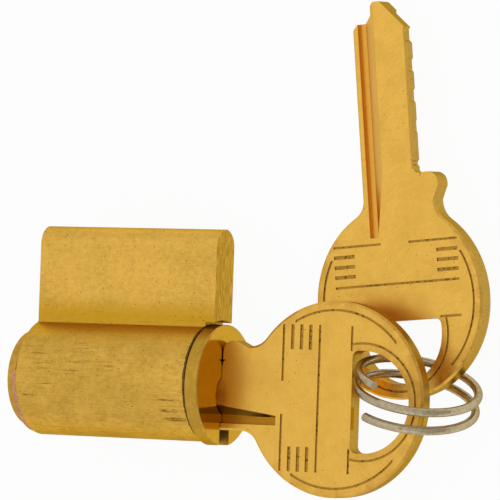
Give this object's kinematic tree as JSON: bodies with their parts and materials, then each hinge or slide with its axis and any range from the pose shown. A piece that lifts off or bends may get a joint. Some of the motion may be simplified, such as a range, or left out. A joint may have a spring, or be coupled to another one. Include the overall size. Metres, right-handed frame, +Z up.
{
  "type": "lock cylinder",
  "caption": "Flanged pin tumbler lock cylinder with a turning plug, spring-loaded pins, an inserted key and a spare key on a split ring.",
  "frame": {"origin": "on the plug's axis, in the plane of the shell's front shoulder, where the flange seats", "axes": "+X from the plug towards the bible that holds the springs, +Y along the plug from the keyed front to the tail, +Z up from the table the set lies on"},
  "size_m": [0.0645, 0.0658, 0.0167],
  "materials": {
    "shell": "raw satin, tarnished",
    "spring_cover": "raw satin, tarnished",
    "plug": "turned, polished face",
    "retaining_clip": "copper-coloured, bright",
    "key": "satin, finely brushed",
    "spare_key": "satin, finely brushed",
    "key_ring": "nickel plated",
    "key_pins": "turned",
    "driver_pins": "turned",
    "pin_springs": "bright wire"
  },
  "bodies": {
    "shell": {"shell": "shell", "spring_cover": "spring_cover", "pin_spring_1": "pin_springs", "pin_spring_2": "pin_springs", "pin_spring_3": "pin_springs", "pin_spring_4": "pin_springs"},
    "plug": {"plug": "plug", "retaining_clip": "retaining_clip", "key_pin_1": "key_pins", "key_pin_2": "key_pins", "key_pin_3": "key_pins", "key_pin_4": "key_pins"},
    "key": {"key": "key"},
    "ring": {"key_ring": "key_ring"},
    "spare_key": {"spare_key": "spare_key"},
    "driver_1": {"driver_pin_1": "driver_pins"},
    "driver_2": {"driver_pin_2": "driver_pins"},
    "driver_3": {"driver_pin_3": "driver_pins"},
    "driver_4": {"driver_pin_4": "driver_pins"}
  },
  "joints": [
    {"name": "plug_turn", "type": "hinge", "parent": "shell", "child": "plug", "pos_m": [0, 0.0127, 0], "axis": [0, 1, 0], "range_deg": [-90, 90]},
    {"name": "key_slide", "type": "slide", "parent": "plug", "child": "key", "axis": [0, -1, 0], "range_m": [0, 0.0245]},
    {"name": "ring_swing", "type": "hinge", "parent": "key", "child": "ring", "pos_m": [0.0029, -0.02255, 0], "axis": [0, 0, 1], "range_deg": [-20, 20]},
    {"name": "spare_key_swing", "type": "hinge", "parent": "ring", "child": "spare_key", "pos_m": [0.0036, -0.0264, -0.0055], "axis": [0, 0, 1], "range_deg": [-10, 20]},
    {"name": "driver_lift_1", "type": "slide", "parent": "shell", "child": "driver_1", "axis": [1, 0, 0], "range_m": [0, 0.0025], "stiffness_N_per_m": 100, "springref_m": -0.001, "deforming": ["pin_spring_1"]},
    {"name": "driver_lift_2", "type": "slide", "parent": "shell", "child": "driver_2", "axis": [1, 0, 0], "range_m": [0, 0.0025], "stiffness_N_per_m": 100, "springref_m": -0.001, "deforming": ["pin_spring_2"]},
    {"name": "driver_lift_3", "type": "slide", "parent": "shell", "child": "driver_3", "axis": [1, 0, 0], "range_m": [0, 0.0025], "stiffness_N_per_m": 100, "springref_m": -0.001, "deforming": ["pin_spring_3"]},
    {"name": "driver_lift_4", "type": "slide", "parent": "shell", "child": "driver_4", "axis": [1, 0, 0], "range_m": [0, 0.0025], "stiffness_N_per_m": 100, "springref_m": -0.001, "deforming": ["pin_spring_4"]}
  ]
}
